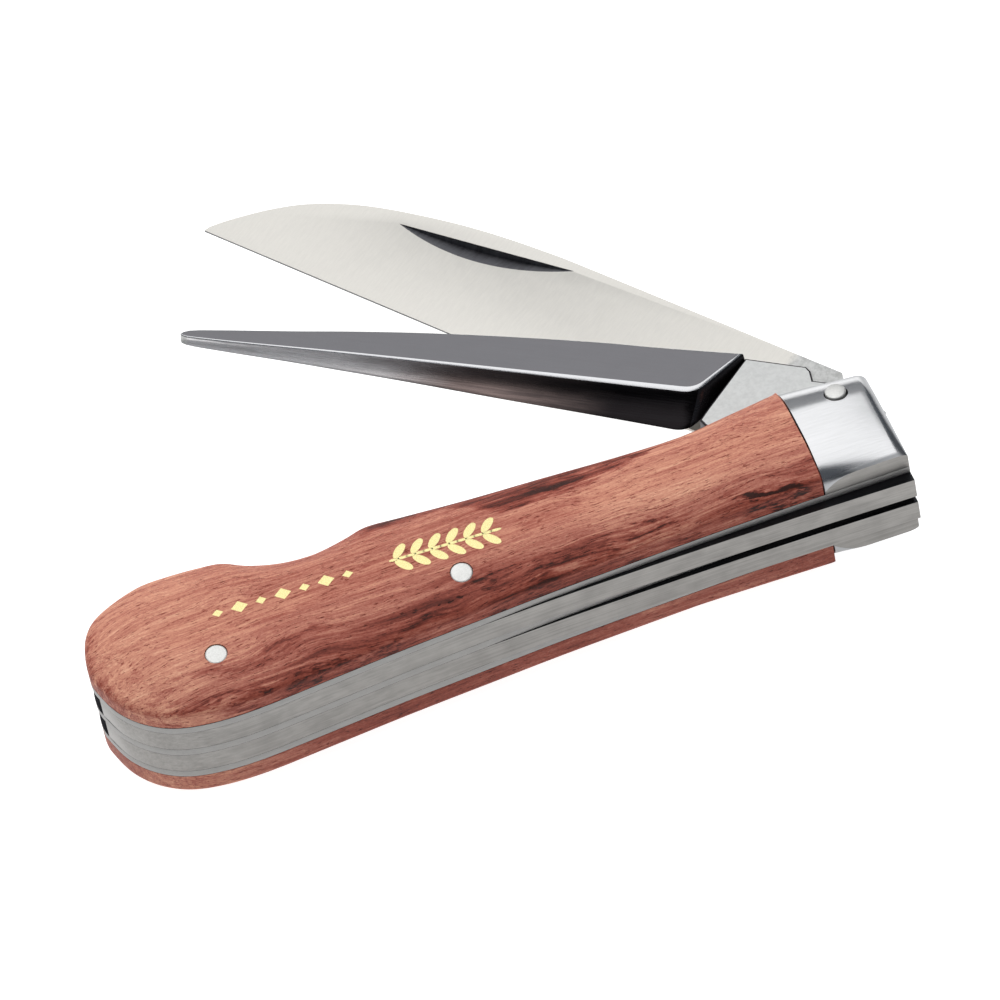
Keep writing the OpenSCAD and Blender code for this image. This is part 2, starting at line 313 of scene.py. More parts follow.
class Paint:
    """One material and the nodes that it is made of."""

    def __init__(self, name, turned=0.0):
        self.material = bpy.data.materials.new(name)
        self.material.use_nodes = True
        self.tree = self.material.node_tree
        self.surface = self.tree.nodes["Principled BSDF"]
        place = self.tree.nodes.new("ShaderNodeTexCoord").outputs["Object"]
        mapping = self.tree.nodes.new("ShaderNodeMapping")
        mapping.inputs["Rotation"].default_value = (0, 0, turned)
        mapping.inputs["Scale"].default_value = (1 / MM, 1 / MM, 1 / MM)
        self.link(place, mapping.inputs["Vector"])
        self.mm = mapping.outputs["Vector"]

    def link(self, source, socket):
        self.tree.links.new(source, socket)

    def put(self, socket, value):
        """A number, colour or output goes to a socket."""
        if isinstance(value, bpy.types.NodeSocket):
            self.link(value, socket)
        elif isinstance(value, tuple) and len(value) == 3 and socket.type == "RGBA":
            socket.default_value = (*value, 1)
        else:
            socket.default_value = value

    def set(self, **values):
        for name, value in values.items():
            self.put(self.surface.inputs[name.replace("_", " ")], value)

    def stretch(self, x, y, z, source=None):
        """Coordinates scaled along each axis."""
        node = self.tree.nodes.new("ShaderNodeMapping")
        node.inputs["Scale"].default_value = (x, y, z)
        self.link(source or self.mm, node.inputs["Vector"])
        return node.outputs["Vector"]

    def noise(self, where, detail=3.0, roughness=0.55, distortion=0.0):
        node = self.tree.nodes.new("ShaderNodeTexNoise")
        node.inputs["Scale"].default_value = 1.0
        node.inputs["Detail"].default_value = detail
        node.inputs["Roughness"].default_value = roughness
        node.inputs["Distortion"].default_value = distortion
        self.link(where, node.inputs["Vector"])
        return node.outputs["Fac"]

    def span(self, value, low, high, to_low=0.0, to_high=1.0):
        """Smoothly maps a value's range from low to high onto another range."""
        node = self.tree.nodes.new("ShaderNodeMapRange")
        node.interpolation_type = "SMOOTHSTEP"
        self.link(value, node.inputs["Value"])
        for name, number in (("From Min", low), ("From Max", high),
                             ("To Min", to_low), ("To Max", to_high)):
            node.inputs[name].default_value = number
        return node.outputs["Result"]

    def math(self, operation, a, b=0.0):
        node = self.tree.nodes.new("ShaderNodeMath")
        node.operation = operation
        self.put(node.inputs[0], a)
        self.put(node.inputs[1], b)
        return node.outputs["Value"]

    def mix(self, share, a, b):
        """Colour a turns into colour b by a share."""
        node = self.tree.nodes.new("ShaderNodeMix")
        node.data_type = "RGBA"
        self.put(node.inputs["Factor"], share)
        self.put(node.inputs["A"], a)
        self.put(node.inputs["B"], b)
        return next(o for o in node.outputs if o.type == "RGBA")

    def along(self, turned):
        """Distance from the pivot along a tool whose rest direction the coordinates are turned by."""
        pivot = Matrix.Rotation(turned, 2) @ Vector(PIVOT)
        return self.math("SUBTRACT", pivot.x, self.axis("X"))

    def ramp(self, value, *stops):
        """Colours that follow a value from stop to stop: each is a value and its colour."""
        node = self.tree.nodes.new("ShaderNodeValToRGB")
        elements = node.color_ramp.elements
        while len(elements) < len(stops):
            elements.new(0.5)
        for element, (place, colour) in zip(elements, stops):
            element.position = place
            element.color = (*colour, 1)
        self.link(value, node.inputs["Fac"])
        return node.outputs["Color"]

    def axis(self, name, source=None):
        node = self.tree.nodes.new("ShaderNodeSeparateXYZ")
        self.link(source or self.mm, node.inputs["Vector"])
        return node.outputs[name]

    def streak(self, x, y, start, end, half, strength):
        """Strength on a soft-edged band between two points, with nothing outside it."""
        centre = self.span(x, start[0], end[0], start[1], end[1])
        off = self.math("ABSOLUTE", self.math("SUBTRACT", y, centre))
        ends = self.math("MULTIPLY", self.span(x, start[0] - 1, start[0] + 2),
                         self.span(x, end[0] + 1, end[0] - 2))
        return self.math("MULTIPLY", self.span(off, half, 0, 0, strength), ends)

    def bump(self, height, depth, below=None):
        """Surface relief, depth millimetres between the lowest and highest height."""
        node = self.tree.nodes.new("ShaderNodeBump")
        node.inputs["Strength"].default_value = 1.0
        node.inputs["Distance"].default_value = depth * MM
        self.link(height, node.inputs["Height"])
        if below is not None:
            self.link(below, node.inputs["Normal"])
        return node.outputs["Normal"]


# Darker streaks of the wood: both ends, the half width, and how dark. A negative one is lighter
STREAKS = (
    ((-16, -9.2), (-6, -8.0), 1.2, 0.25), ((-6, -6.3), (2, -6.8), 0.6, 0.3),
    ((-6, -9.5), (7, -8.8), 0.9, 0.3), ((3, -6.8), (16, -7.5), 0.8, 0.3),
    ((13, -7.9), (20, -8.4), 0.8, 0.35), ((16, -6.4), (25, -6.8), 0.7, 0.5),
    ((21, -8.7), (31, -9.2), 0.7, 0.3), ((30, -6.6), (35, -8.0), 0.7, 0.55),
    ((33, -7.9), (42, -8.9), 0.8, 0.6), ((19, -5.0), (26, -5.4), 0.35, 0.25),
    ((6, 5.2), (16, 4.0), 1.6, 0.26), ((12, 6.2), (30, 6.4), 1.1, 0.4),
    ((-15, 10.4), (-2, 9.4), 0.7, 0.2), ((-50, -5.4), (-36, -6.8), 0.5, 0.2),
    ((-36, -6.8), (-23, -5.1), 0.5, 0.2), ((-52, -8.4), (-34, -10.6), 0.5, 0.3),
    ((-34, -10.6), (-15, -9.7), 0.35, 0.3), ((-50, 12.6), (-38, 14.4), 0.5, 0.2),
    ((31, 3.4), (14, -3.2), 1.4, -0.14),
)


def wood():
    """Salmon-brown wood, darker and redder along both long edges, with torn near-black streaks and short
    pores. Along the spine side that darkening is painted shade; along the front it is a dark zone of the
    wood.
    """
    p = Paint("wood")
    bend = p.noise(p.stretch(0.04, 0.12, 0.12), detail=2.0)
    drift = p.tree.nodes.new("ShaderNodeVectorMath")
    drift.operation = "MULTIPLY_ADD"
    p.link(bend, drift.inputs[0])
    drift.inputs[1].default_value = (0, 5, 4)
    p.link(p.mm, drift.inputs[2])
    grain = drift.outputs["Vector"]
    wave = p.noise(p.stretch(0.16, 0.5, 0.5), detail=4.0, roughness=0.6)
    x = p.axis("X")
    y = p.math("ADD", p.axis("Y"), p.span(wave, 0.2, 0.8, -1.3, 1.3))
    # Zones: the middle of the handle, dark red painted shade along the spine side, and a front zone that
    # bends inwards
    middle = p.math("MULTIPLY", p.span(x, -46, -24), p.span(x, 17, 9))
    # Painted shade: the spine side's slopes, on both scales, turn darker and redder
    spine = p.math("MULTIPLY", p.span(y, -4.0, -6.6), p.span(x, -53, -18, 0.3, 1))
    inwards = p.math("MULTIPLY", p.span(x, -5, 6, 0, -5.5), p.span(x, 32, 18))
    front = p.math("SUBTRACT", y, p.math("ADD", inwards, 9.0))
    front = p.math("MULTIPLY", p.span(front, -1.1, 0.8), p.span(x, -19, -12))
    front = p.math("MULTIPLY", front, p.span(x, 33, 27, 0, 1.5))
    butt = p.math("MULTIPLY", p.span(x, -50, -54), p.span(p.axis("Z"), 18, 16))
    upper = p.span(p.axis("Z"), 9, 10)
    shade_and_dark_zones = p.math("MAXIMUM", p.math("MAXIMUM", spine, front), butt)
    tone = p.math("SUBTRACT", 0.79, p.math("MULTIPLY", middle, 0.13))
    # Darker by the painted shade on the spine side and in the front and butt areas
    tone = p.math("SUBTRACT", tone, p.math("MULTIPLY", shade_and_dark_zones, 0.2))
    tone = p.math("SUBTRACT", tone, p.span(x, 28, 36, 0, 0.07))
    # Fibres, stronger in the painted shade and the dark areas
    fibre = p.noise(p.stretch(0.055, 1.0, 1.0, grain), detail=7.0, roughness=0.68)
    fine = p.noise(p.stretch(0.13, 4.5, 4.5, grain), detail=4.0, roughness=0.7)
    swing = p.math("ADD", 0.75, p.math("MULTIPLY", p.math("MULTIPLY", shade_and_dark_zones, upper), 0.75))
    for source, share in ((fibre, swing), (fine, 0.7)):
        tone = p.math("ADD", tone, p.math("MULTIPLY", p.math("SUBTRACT", source, 0.5), share))
    torn = p.noise(p.stretch(0.14, 2.2, 2.2, grain), detail=6.0, roughness=0.7)
    torn = p.math("MULTIPLY", p.span(torn, 0.4, 0.56), upper)
    for start, end, half, strength in STREAKS:
        streak = p.streak(x, y, start, end, half, strength)
        tone = p.math("SUBTRACT", tone, p.math("MULTIPLY", streak, torn) if strength > 0 else streak)
    # Short pores along the grain, and a fine mottle
    pore = p.noise(p.stretch(0.8, 5.5, 5.5, grain), detail=2.0, roughness=0.5)
    pore = p.span(pore, 0.6, 0.72)
    tone = p.math("SUBTRACT", tone, p.math("MULTIPLY", pore, 0.3))
    speck = p.noise(p.stretch(2.4, 4.0, 4.0), detail=3.0, roughness=0.75)
    tone = p.math("ADD", tone, p.math("MULTIPLY", p.math("SUBTRACT", speck, 0.5), 0.4))
    colour = p.ramp(tone, (0.05, (0.036, 0.011, 0.008)), (0.28, (0.155, 0.029, 0.018)),
                    (0.48, (0.29, 0.069, 0.045)), (0.64, (0.40, 0.135, 0.094)),
                    (0.82, (0.57, 0.25, 0.165)), (1.0, (0.72, 0.39, 0.26)))
    relief = p.math("SUBTRACT", p.math("MULTIPLY", p.math("ADD", fine, speck), 0.4), pore)
    p.set(Base_Color=colour, Roughness=p.span(fine, 0.3, 0.8, 0.5, 0.7),
          Specular_IOR_Level=0.2, Normal=p.bump(relief, 0.06))
    return p.material


def steel(name, light, shade_by, rough, metallic=1.0, turned=0.0, lines=(0.15, 9.0, 9.0),
          depth=0.004, mottle=0.3, root=None):
    """Brushed or ground steel: light, and darker by a share along fine lines and in soft patches.

    A tool's steel is unpolished grey from its pivot up to the root distance.
    """
    p = Paint(name, turned)
    line = p.noise(p.stretch(*lines), detail=3.0, roughness=0.7)
    patch = p.noise(p.stretch(mottle, mottle, mottle), detail=3.0)
    tone = p.math("ADD", p.math("MULTIPLY", line, 0.6), p.math("MULTIPLY", patch, 0.4))
    darker = tuple(c * (1 - shade_by) for c in light)
    colour = p.mix(p.span(tone, 0.3, 0.7), darker, light)
    if root:
        grit = p.noise(p.stretch(1.4, 1.4, 1.4), detail=4.0, roughness=0.7)
        grey = p.mix(p.span(grit, 0.35, 0.65), (0.36, 0.36, 0.35), (0.5, 0.5, 0.49))
        edge = p.math("ADD", p.along(turned), p.math("MULTIPLY", grit, 2))
        colour = p.mix(p.span(edge, root, root + 1.5), grey, colour)
    p.set(Base_Color=colour, Metallic=metallic,
          Roughness=p.span(tone, 0.3, 0.7, rough * 0.85, rough * 1.15),
          Normal=p.bump(line, depth))
    return p.material


def bolster_steel():
    """Polished nickel silver, duller along the front edge, at the head end and by the spine corner."""
    p = Paint("polished_bolster")
    x, y = p.axis("X"), p.axis("Y")
    lean = (BOLSTER_FRONT[0] - BOLSTER_FRONT[1]) / (X_HEAD - X_JOINT)
    to_front = p.math("ADD", y, p.math("MULTIPLY", p.math("SUBTRACT", x, X_JOINT), lean))
    dull = p.span(to_front, BOLSTER_FRONT[0] - 1.7, BOLSTER_FRONT[0] - 0.5)
    for share in (p.span(x, X_HEAD - 1.3, X_HEAD - 0.6), p.span(y, -8.0, -8.5),
                  p.span(p.axis("Z"), SCALE_T, SCALE_T - 1)):
        dull = p.math("MAXIMUM", dull, share)
    line = p.noise(p.stretch(0.1, 5.0, 5.0), detail=3.0, roughness=0.7)
    colour = p.mix(dull, (0.62, 0.62, 0.625), (0.36, 0.365, 0.375))
    colour = p.mix(p.span(line, 0.3, 0.7, 0.12, 0), colour, (0.3, 0.3, 0.3))
    p.set(Base_Color=colour, Metallic=1.0, Roughness=p.span(dull, 0, 1, 0.22, 0.36),
          Normal=p.bump(line, 0.0005))
    return p.material


def hollow_steel():
    """The reamer's hollow side, painted reflection: black by the shoulder, brownish further on, bright
    at the tip.
    """
    p = Paint("reamer_hollow_painted_reflection", REAMER_REST)
    along = p.along(REAMER_REST)
    line = p.noise(p.stretch(0.1, 4.0, 4.0), detail=3.0, roughness=0.7)
    along = p.math("ADD", along, p.math("MULTIPLY", p.noise(p.stretch(0.1, 0.5, 0.5)), 14))
    # Painted reflection along the hollow, from black by the shoulder through brown to bright towards the
    # tip
    colour = p.mix(p.span(along, 38, 62), (0.013, 0.011, 0.012), (0.2, 0.15, 0.14))
    colour = p.mix(p.span(along, 58, 84), colour, (0.75, 0.74, 0.75))
    colour = p.mix(p.math("MULTIPLY", p.span(line, 0.4, 0.7), 0.35), colour, (0.03, 0.028, 0.03))
    p.set(Base_Color=colour, Metallic=p.span(along, 55, 80, 1, 0.6),
          Roughness=p.span(line, 0.3, 0.7, 0.22, 0.34), Normal=p.bump(line, 0.003))
    return p.material


def foil():
    p = Paint("gold_foil")
    grit = p.noise(p.stretch(6, 6, 6), detail=3.0)
    colour = p.mix(p.span(grit, 0.35, 0.65), (0.78, 0.66, 0.27), (0.92, 0.84, 0.42))
    p.set(Base_Color=colour, Metallic=0.35, Roughness=p.span(grit, 0.3, 0.7, 0.35, 0.5),
          Normal=p.bump(grit, 0.01))
    return p.material


# ---------------------------------------------------------------- handle

def node_outline(node, z):
    """Smooth outline of a CAD node at a height, kept inside the CAD's box."""
    loop = curve(even(rims(node, z)[0], OUTLINE_STEP), 3, closed=True)
    return np.maximum(loop, (X_BUTT, loop[:, 1].min()))


OUTLINE = node_outline("lower_liner", LOW_LINER[1])
WOOD_EDGE = node_outline("lower_scale", SCALE_T)


def middle_y(x):
    return MIDDLE_Y - MIDDLE_LEAN * np.minimum(x, 0)


def middle_of(loop):
    """The point of the crown's middle line that each point of an outline falls away from."""
    x = np.maximum(CROWN_END, loop[:, 0])
    return np.column_stack([x, middle_y(x)])


def fall(v):
    """How far the crown has fallen, 0 to 1, at a share v of the way from its middle to its side."""
    return np.maximum(0, (v - CROWN_FLAT) / (1 - CROWN_FLAT)) ** 2


def scale_rings(fuller=0.0):
    """Rings of the lower scale: up its side, over the rounding and along the crown.

    fuller makes its side so much higher.
    """
    middle = middle_of(WOOD_EDGE)
    half = np.maximum(5, np.linalg.norm(WOOD_EDGE - middle, axis=1))
    x, y = WOOD_EDGE.T
    spine_share = np.where(x > X_JOINT - 0.01, np.interp(y, (y.min(), y.max()), (1, 0)), y < 0)
    rise = SIDE_RISE * np.maximum(0, (x - RISE_FROM) / (X_JOINT - RISE_FROM)) * spine_share
    drop = SCALE_T - SIDE_T - fuller - rise

    def ring(v, z):
        flat = middle + (WOOD_EDGE - middle) * np.reshape(v, (-1, 1))
        return at_height(flat, np.maximum(z, SKIN))

    v_top = 1 - ROUND_TOP / half
    z_top = drop * fall(v_top)
    rings = [ring(1 - 0.08 / half, SCALE_T), ring(np.ones_like(half), SCALE_T - 0.08),
             ring(np.ones_like(half), drop + ROUND_SIDE)]
    for t in np.arange(1, 7) / 6:
        a, b, c = (1 - t) ** 2, 2 * t * (1 - t), t ** 2
        rings.append(ring(1 - c * ROUND_TOP / half, a * (drop + ROUND_SIDE) + b * drop + c * z_top))
    for t in np.arange(1, 11) / 10:
        v = lerp(v_top, CROWN_FLAT, t)
        rings.append(ring(v, drop * fall(v)))
    return rings


def make_scale(name, node, rings, material):
    made = piece(name, rings)
    cut(made, *(drill(centre, SCALE_BORE_R) for centre in RIVETS))
    made.data.materials.append(material)
    settle(made, "handle", "wood", node)


def make_liner(name, node, z, materials):
    made = piece(name, round_rings(OUTLINE, *z, PLATE_ROUND))
    cut(made, *(drill(centre, PLATE_BORE_R) for centre in RIVETS), drill(PIVOT, PIN_R + BORE_GAP))
    # Faces that look up or down take the second material, painted shade where they show in the slots
    paint(made, materials, lambda centre, normal: int(abs(normal.z) > 0.5))
    settle(made, "handle", "liner_steel", node)


def make_spring(name, node, z, materials):
    loop = curve(even(rims(node, z[1])[0], OUTLINE_STEP), 3, closed=True)
    made = piece(name, round_rings(loop, *z, PLATE_ROUND))
    cut(made, *(drill(centre, PLATE_BORE_R) for centre in RIVETS))
    # Faces that look up or down take the second material, painted shade on the springs' raised tops
    paint(made, materials, lambda centre, normal: int(abs(normal.z) > 0.5))
    settle(made, "handle", "spring_steel", node)


def edge_at(x, front):
    """y of the wood's edge at x, at the front or at the spine."""
    side = WOOD_EDGE[(WOOD_EDGE[:, 1] > 2) == front]
    order = np.argsort(side[:, 0])
    return float(np.interp(x, side[order, 0], side[order, 1]))


def crown_height(x, y):
    """Height of the crown above the liner, where the sides don't rise."""
    middle = middle_y(x)
    share = (y - middle) / (edge_at(x, y > middle) - middle)
    return SCALE_T - (SCALE_T - SIDE_T) * float(fall(np.array(share)))


def make_rivet(name, node, material):
    """Rivet filed to the slope of the crown, with a slightly worn rim."""
    low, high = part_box(node)
    x, y = ((low + high) / 2).xy / MM
    r = (high.x - low.x) / 2 / MM
    slope = (crown_height(x, y + r) - crown_height(x, y - r)) / (2 * r)
    half_t = TOTAL_T / 2 - SCALE_T + crown_height(x, y) - RIVET_SINK
    rings = []
    for side, profile in ((-1, RIVET_RIM), (1, RIVET_RIM[::-1])):
        for by, drop in profile:
            loop = circle((x, y), r - by)
            tilt = slope * (loop[:, 1] - y)
            rings.append(at_height(loop, TOTAL_T / 2 + side * (half_t + tilt - drop)))
    made = piece(name, rings)
    made.data.materials.append(material)
    settle(made, "handle", "pin_steel", node)


def make_pivot_pin(name, node, material):
    """Pin with a low domed head on each bolster."""
    z_low, z_high = layer(node)
    flat_r = PIN_R - PIN_ROUND
    profile = [(flat_r * t, PIN_DOME * t ** 2) for t in np.linspace(0.05, 1, 8)]
    profile += [(flat_r + PIN_ROUND * math.sin(a), PIN_DOME + PIN_ROUND * (1 - math.cos(a)))
                for a in np.linspace(0, math.pi / 2, 6)[1:]]
    rings = [at_height(circle(PIVOT, r), z_low + down) for r, down in profile]
    rings += [at_height(circle(PIVOT, r), z_high - down) for r, down in reversed(profile)]
    made = piece(name, rings)
    made.data.materials.append(material)
    settle(made, "handle", "pin_steel", node)


def crown_ring(loop, lift):
    """A loop laid on the upper crown, lifted off it."""
    return np.array([(x, y, TOTAL_T - SCALE_T + crown_height(x, y) - SKIN + lift) for x, y in loop])


def add_mark(name, loop, centre, angle, material):
    """A gilded mark whose outline, about its centre, is laid on the crown."""
    c, s = math.cos(angle), math.sin(angle)
    loop = np.array(loop)

    def placed(scale):
        flat = loop * scale
        return np.column_stack([centre[0] + c * flat[:, 0] - s * flat[:, 1],
                                centre[1] + s * flat[:, 0] + c * flat[:, 1]])
    rings = [crown_ring(placed(1), -0.05), crown_ring(placed(1), 0.01)]
    rings += [crown_ring(placed(scale), FOIL_T) for scale in (0.94, 0.6, 0.25)]
    made = piece(name, rings)
    made.data.materials.append(material)
    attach(made, "handle")


def lens(length, width, count=10):
    """Outline of a pointed leaf that starts at the origin."""
    t = np.linspace(0, math.pi, count)
    bulge = np.sin(t) ** 0.9 * width / 2
    x = length * (1 - np.cos(t)) / 2
    return [*zip(x, -bulge), *zip(x[-2:0:-1], bulge[-2:0:-1])]


def add_ornament(material):
    """A leaf sprig and a row of lozenges, each along its own line on the crown."""
    (start, lean), (first, row_lean) = SPRIG, LOZENGES
    along = np.array((math.cos(lean), math.sin(lean)))
    across = np.array((-along[1], along[0]))
    for i in range(13):
        place = start - along * (15.2 - 1.15 * i)
        add_mark(f"foil_stem_{i}", lens(1.5, 0.5), place, lean, material)
    for i in range(6):
        for side in (-1, 1):
            root = start - along * (14.4 - 2.4 * i) + across * 0.2 * side
            name = f"foil_leaf_{i}_{(side + 1) // 2}"
            add_mark(name, lens(2.9, 1.25), root, lean + side * 0.9, material)
    along = np.array((math.cos(row_lean), math.sin(row_lean)))
    for i in range(7):
        size = 1.15 if i % 2 else 0.75
        diamond = [(-size, 0), (0, -0.9 * size), (size, 0), (0, 0.9 * size)]
        add_mark(f"foil_lozenge_{i}", diamond, first - along * 2.95 * i, row_lean, material)


# Gilded marks: the right end of a line and its lean, and the foil's thickness
SPRIG = np.array((1.8, 0.6)), -0.07
LOZENGES = np.array((-19.0, 2.0)), -0.0625
FOIL_T = 0.024


def ground_height(share):
    """Height of the bolster's ground spine face, which runs out at the wood."""
    run_out = max(0, 1 - share / RUN_OUT) ** 2.4
    return lerp(*BOLSTER_SIDE, share) * (1 - 0.88 * run_out)


def bolster_ring(x, shrink=0.0):
    """Section of a bolster at x: (y, height above the liner), from the spine to the front."""
    share = (x - X_JOINT) / (X_HEAD - X_JOINT)
    spine, front, side = (lerp(*pair, share) for pair in (BOLSTER_SPINE, BOLSTER_FRONT, BOLSTER_SIDE))
    crown = SCALE_T - BOLSTER_DROP * share ** 2
    ground = ground_height(share)
    round_end = math.sqrt(max(0, 1 - max(0, 1 - (X_HEAD - x) / HEAD_ROUND) ** 2))

    def over(y):
        edge, height = (spine, side) if y < MIDDLE_Y else (front, front_side)
        v = (y - MIDDLE_Y) / (edge - MIDDLE_Y)
        return lerp(crown, height, float(fall(np.array(v))))

    front_side = lerp(BOLSTER_SIDE[0], HEAD_FRONT_T, share)
    front -= HEAD_CORNER * (1 - math.sqrt(max(0, 1 - max(0, 1 - (X_HEAD - x) / HEAD_CORNER) ** 2)))
    width = lerp(*SPINE_ROUND, share)
    line = [(spine, 0.02), (spine, ground / 2), (spine, ground)]
    for t in np.arange(1, 7) / 6:
        corner = 2 * t * (1 - t) * side
        height = (1 - t) ** 2 * ground + corner + t ** 2 * over(spine + width)
        line.append((spine + t ** 2 * width, height))
    inner = front - FRONT_ROUND
    rim = front_side - FRONT_DROP
    line += [(y, over(y)) for y in np.linspace(spine + width, inner, 22)[1:]]
    for t in np.arange(1, 8) / 7:
        corner = 2 * t * (1 - t)
        y = (1 - t) ** 2 * inner + (corner + t ** 2) * front
        line.append((y, (1 - t) ** 2 * over(inner) + corner * front_side * 1.05 + t ** 2 * rim))
    line += [(front, rim / 2), (front, 0.02)]
    points = np.array(line)
    height = np.where(points[:, 1] > 0.03, lerp(END_T, points[:, 1], round_end), points[:, 1])
    height = np.where(points[:, 1] < END_T, np.minimum(height, points[:, 1]), height)
    y = points[:, 0] + np.clip(MIDDLE_Y - points[:, 0], -1, 1) * shrink
    return np.column_stack([np.full(len(y), x), y, SCALE_T - height + shrink * (height > 0.1)])


def bolster_rings():
    start = X_JOINT + JOINT_GAP
    flat = np.linspace(start + 0.06, X_HEAD - HEAD_ROUND, 16)
    rounded = X_HEAD - HEAD_ROUND + HEAD_ROUND * np.sin(np.linspace(0, math.pi / 2, 14))[1:]
    return [bolster_ring(start, 0.05)] + [bolster_ring(x) for x in (*flat, *rounded)]


def make_bolster(name, node, rings, materials):
    made = piece(name, rings, smooth=28)
    cut(made, drill(PIVOT + PIN_GAP_AT, PIN_R + PIN_GAP), smooth=28)

    def choose(centre, normal):
        share = (centre.x - X_JOINT) / (X_HEAD - X_JOINT)
        height = abs(centre.z - TOTAL_T / 2) - TOTAL_T / 2 + SCALE_T
        return int(normal.y < -0.95 and height < ground_height(share))
    paint(made, materials, choose)
    settle(made, "handle", "polished_bolster", node)


# Bolster: pairs are at the joint and at the head
BOLSTER_SPINE = (-8.6, -8.8)
BOLSTER_FRONT = (9.1, 8.1)
BOLSTER_SIDE = (2.4, 2.5)
BOLSTER_DROP = 0.9   # how much lower the crown is at the head
SPINE_ROUND = (1.6, 0.5)
FRONT_ROUND = 1.1    # how far in from the front edge its rounding starts
FRONT_DROP = 0.4
HEAD_ROUND = 1.5
HEAD_FRONT_T = 1.9   # height of the front side at the head
HEAD_CORNER = 1.2    # radius of the head's front corner
END_T = 2.0          # height of the end face
RUN_OUT = 0.42       # share of its length in which the ground face rises from nothing
JOINT_GAP = 0.18
PIN_R = 1.4
PIN_DOME = 0.12      # how much lower the dome is at its rim
PIN_ROUND = 0.22
PIN_GAP = 0.22       # worn ring round the pin, wider towards the spine
PIN_GAP_AT = np.array((0.03, -0.12))
RIVET_SINK = 0.1
RIVET_RIM = ((0.2, 0), (0.1, 0.01), (0, 0.08))   # in from a rivet's side, and down from its face
BORE_GAP = 0.05

# Places of the rivets, from their CAD nodes
RIVETS = [(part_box(node)[0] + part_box(node)[1]).xy / 2 / MM for node in ("middle_rivet", "butt_rivet")]


# ---------------------------------------------------------------- tools

# Outlines in a tool's own plane: x runs from the pivot to the tip, y towards the back
TANG_FLAT = 7.0
STOP_X = 5.8
TANG_END = [(STOP_X, -TANG_FLAT), (-3.4, -TANG_FLAT), (-4.5, -6.6), (-5.1, -5.6), (-5.25, -4.4),
            (-5.25, 0.5), (-5.4, 2.6), (-5.3, 3.2), (-4.7, 3.6), (-3.7, 4.1), (-2.4, 5.1),
            (-1.2, 6.4), (0, TANG_FLAT)]
BLADE_EDGE_Y = -7.45
BLADE_BACK_Y = 10.5
BLADE_BACK = [(STOP_X + 1.6, BLADE_BACK_Y), (48, 10.5), (57, 10.3), (64, 9.85), (70, 9.15), (76, 8.1),
              (82, 6.75), (87, 5.1), (92, 2.65), (96, -0.35), (99.5, -3.8), (101.6, -6.3),
              (102.1, BLADE_EDGE_Y)]
BLADE_HEEL = [(24, BLADE_EDGE_Y), (21, -6.7), (12, -6.4), (9, -TANG_FLAT)]
GRIND_START = 13
GRIND = math.atan((TOOL_T - EDGE_T) / 2 / (BLADE_BACK_Y - BLADE_EDGE_Y))
NICK = ((52.6, 8.6), (77.8, 5.3))
NICK_W = 3
NICK_TILT = math.radians(18)
NICK_WHEEL_R = 89

# Reamer: distance from the pivot, far side, near side on top, near side below
REAMER = [(28, 9, 1.8, -2.6), (36, 8.6, 1.6, -2.3), (48, 7.6, 1.3, -1.9), (60, 6.3, 1, -1.4),
          (70, 4.9, 0.7, -1.1), (78, 3.6, 0.4, -0.9), (86, 2.4, 0.1, -0.8), (91, 1.6, 0, -0.7)]
REAMER_TIP = [((92.4, 1.3), (92.4, 0.75)), ((93.2, 0.9), (93.2, 0.45)), ((93.5, 0.5), (93.5, 0.05)),
              ((93.2, 0.15), (93.2, -0.35)), ((92.4, 0.0), (92.4, -0.6))]
SHOULDER_TOP = ((16.4, 9.8), (20.6, 2.0))
SHOULDER_LOW = ((15.4, 8.6), (20.8, -2.9))
REAMER_START = 16
REAMER_END = 93.5
REAMER_TIP_T = 1.0
SHOULDER_ROUND = 2.0
SHOULDER_SHARES = (0.35, 0.55, 0.75)
TANG_RELIEF = 0.5    # how much lower the tang is than the reamer's top
TANG_ROUND = 0.25
BOSS_R = 3.4         # full-height ring round the pivot
HOLLOW = 0.55        # depth of the hollow-ground near side
# Places of its materials in their list: the top and the rim take darker and lighter copies of one steel,
# painted shade and a painted highlight; the hollow takes painted reflection, and the shoulder painted
# shade
REAMER_TOP, REAMER_EDGE, REAMER_HOLLOW, REAMER_TANG, REAMER_SHOULDER = range(5)


def box_rings(low, high, turn_matrix):
    """Rings of a cutting block from low to high, turned by a matrix."""
    (x0, y0, z0), (x1, y1, z1) = low, high
    square = np.array([(x0, y0), (x1, y0), (x1, y1), (x0, y1)], float)
    rings = []
    for z in (z0, z1):
        rings.append(np.array([turn_matrix @ Vector((*p, z)) for p in square]))
    return rings


def tool_rings(rings, rest, z_low):
    """Rings in a tool's own frame put at the pivot, on the slot's floor."""
    return [from_tool(ring, rest) + (0, 0, z_low) for ring in rings]


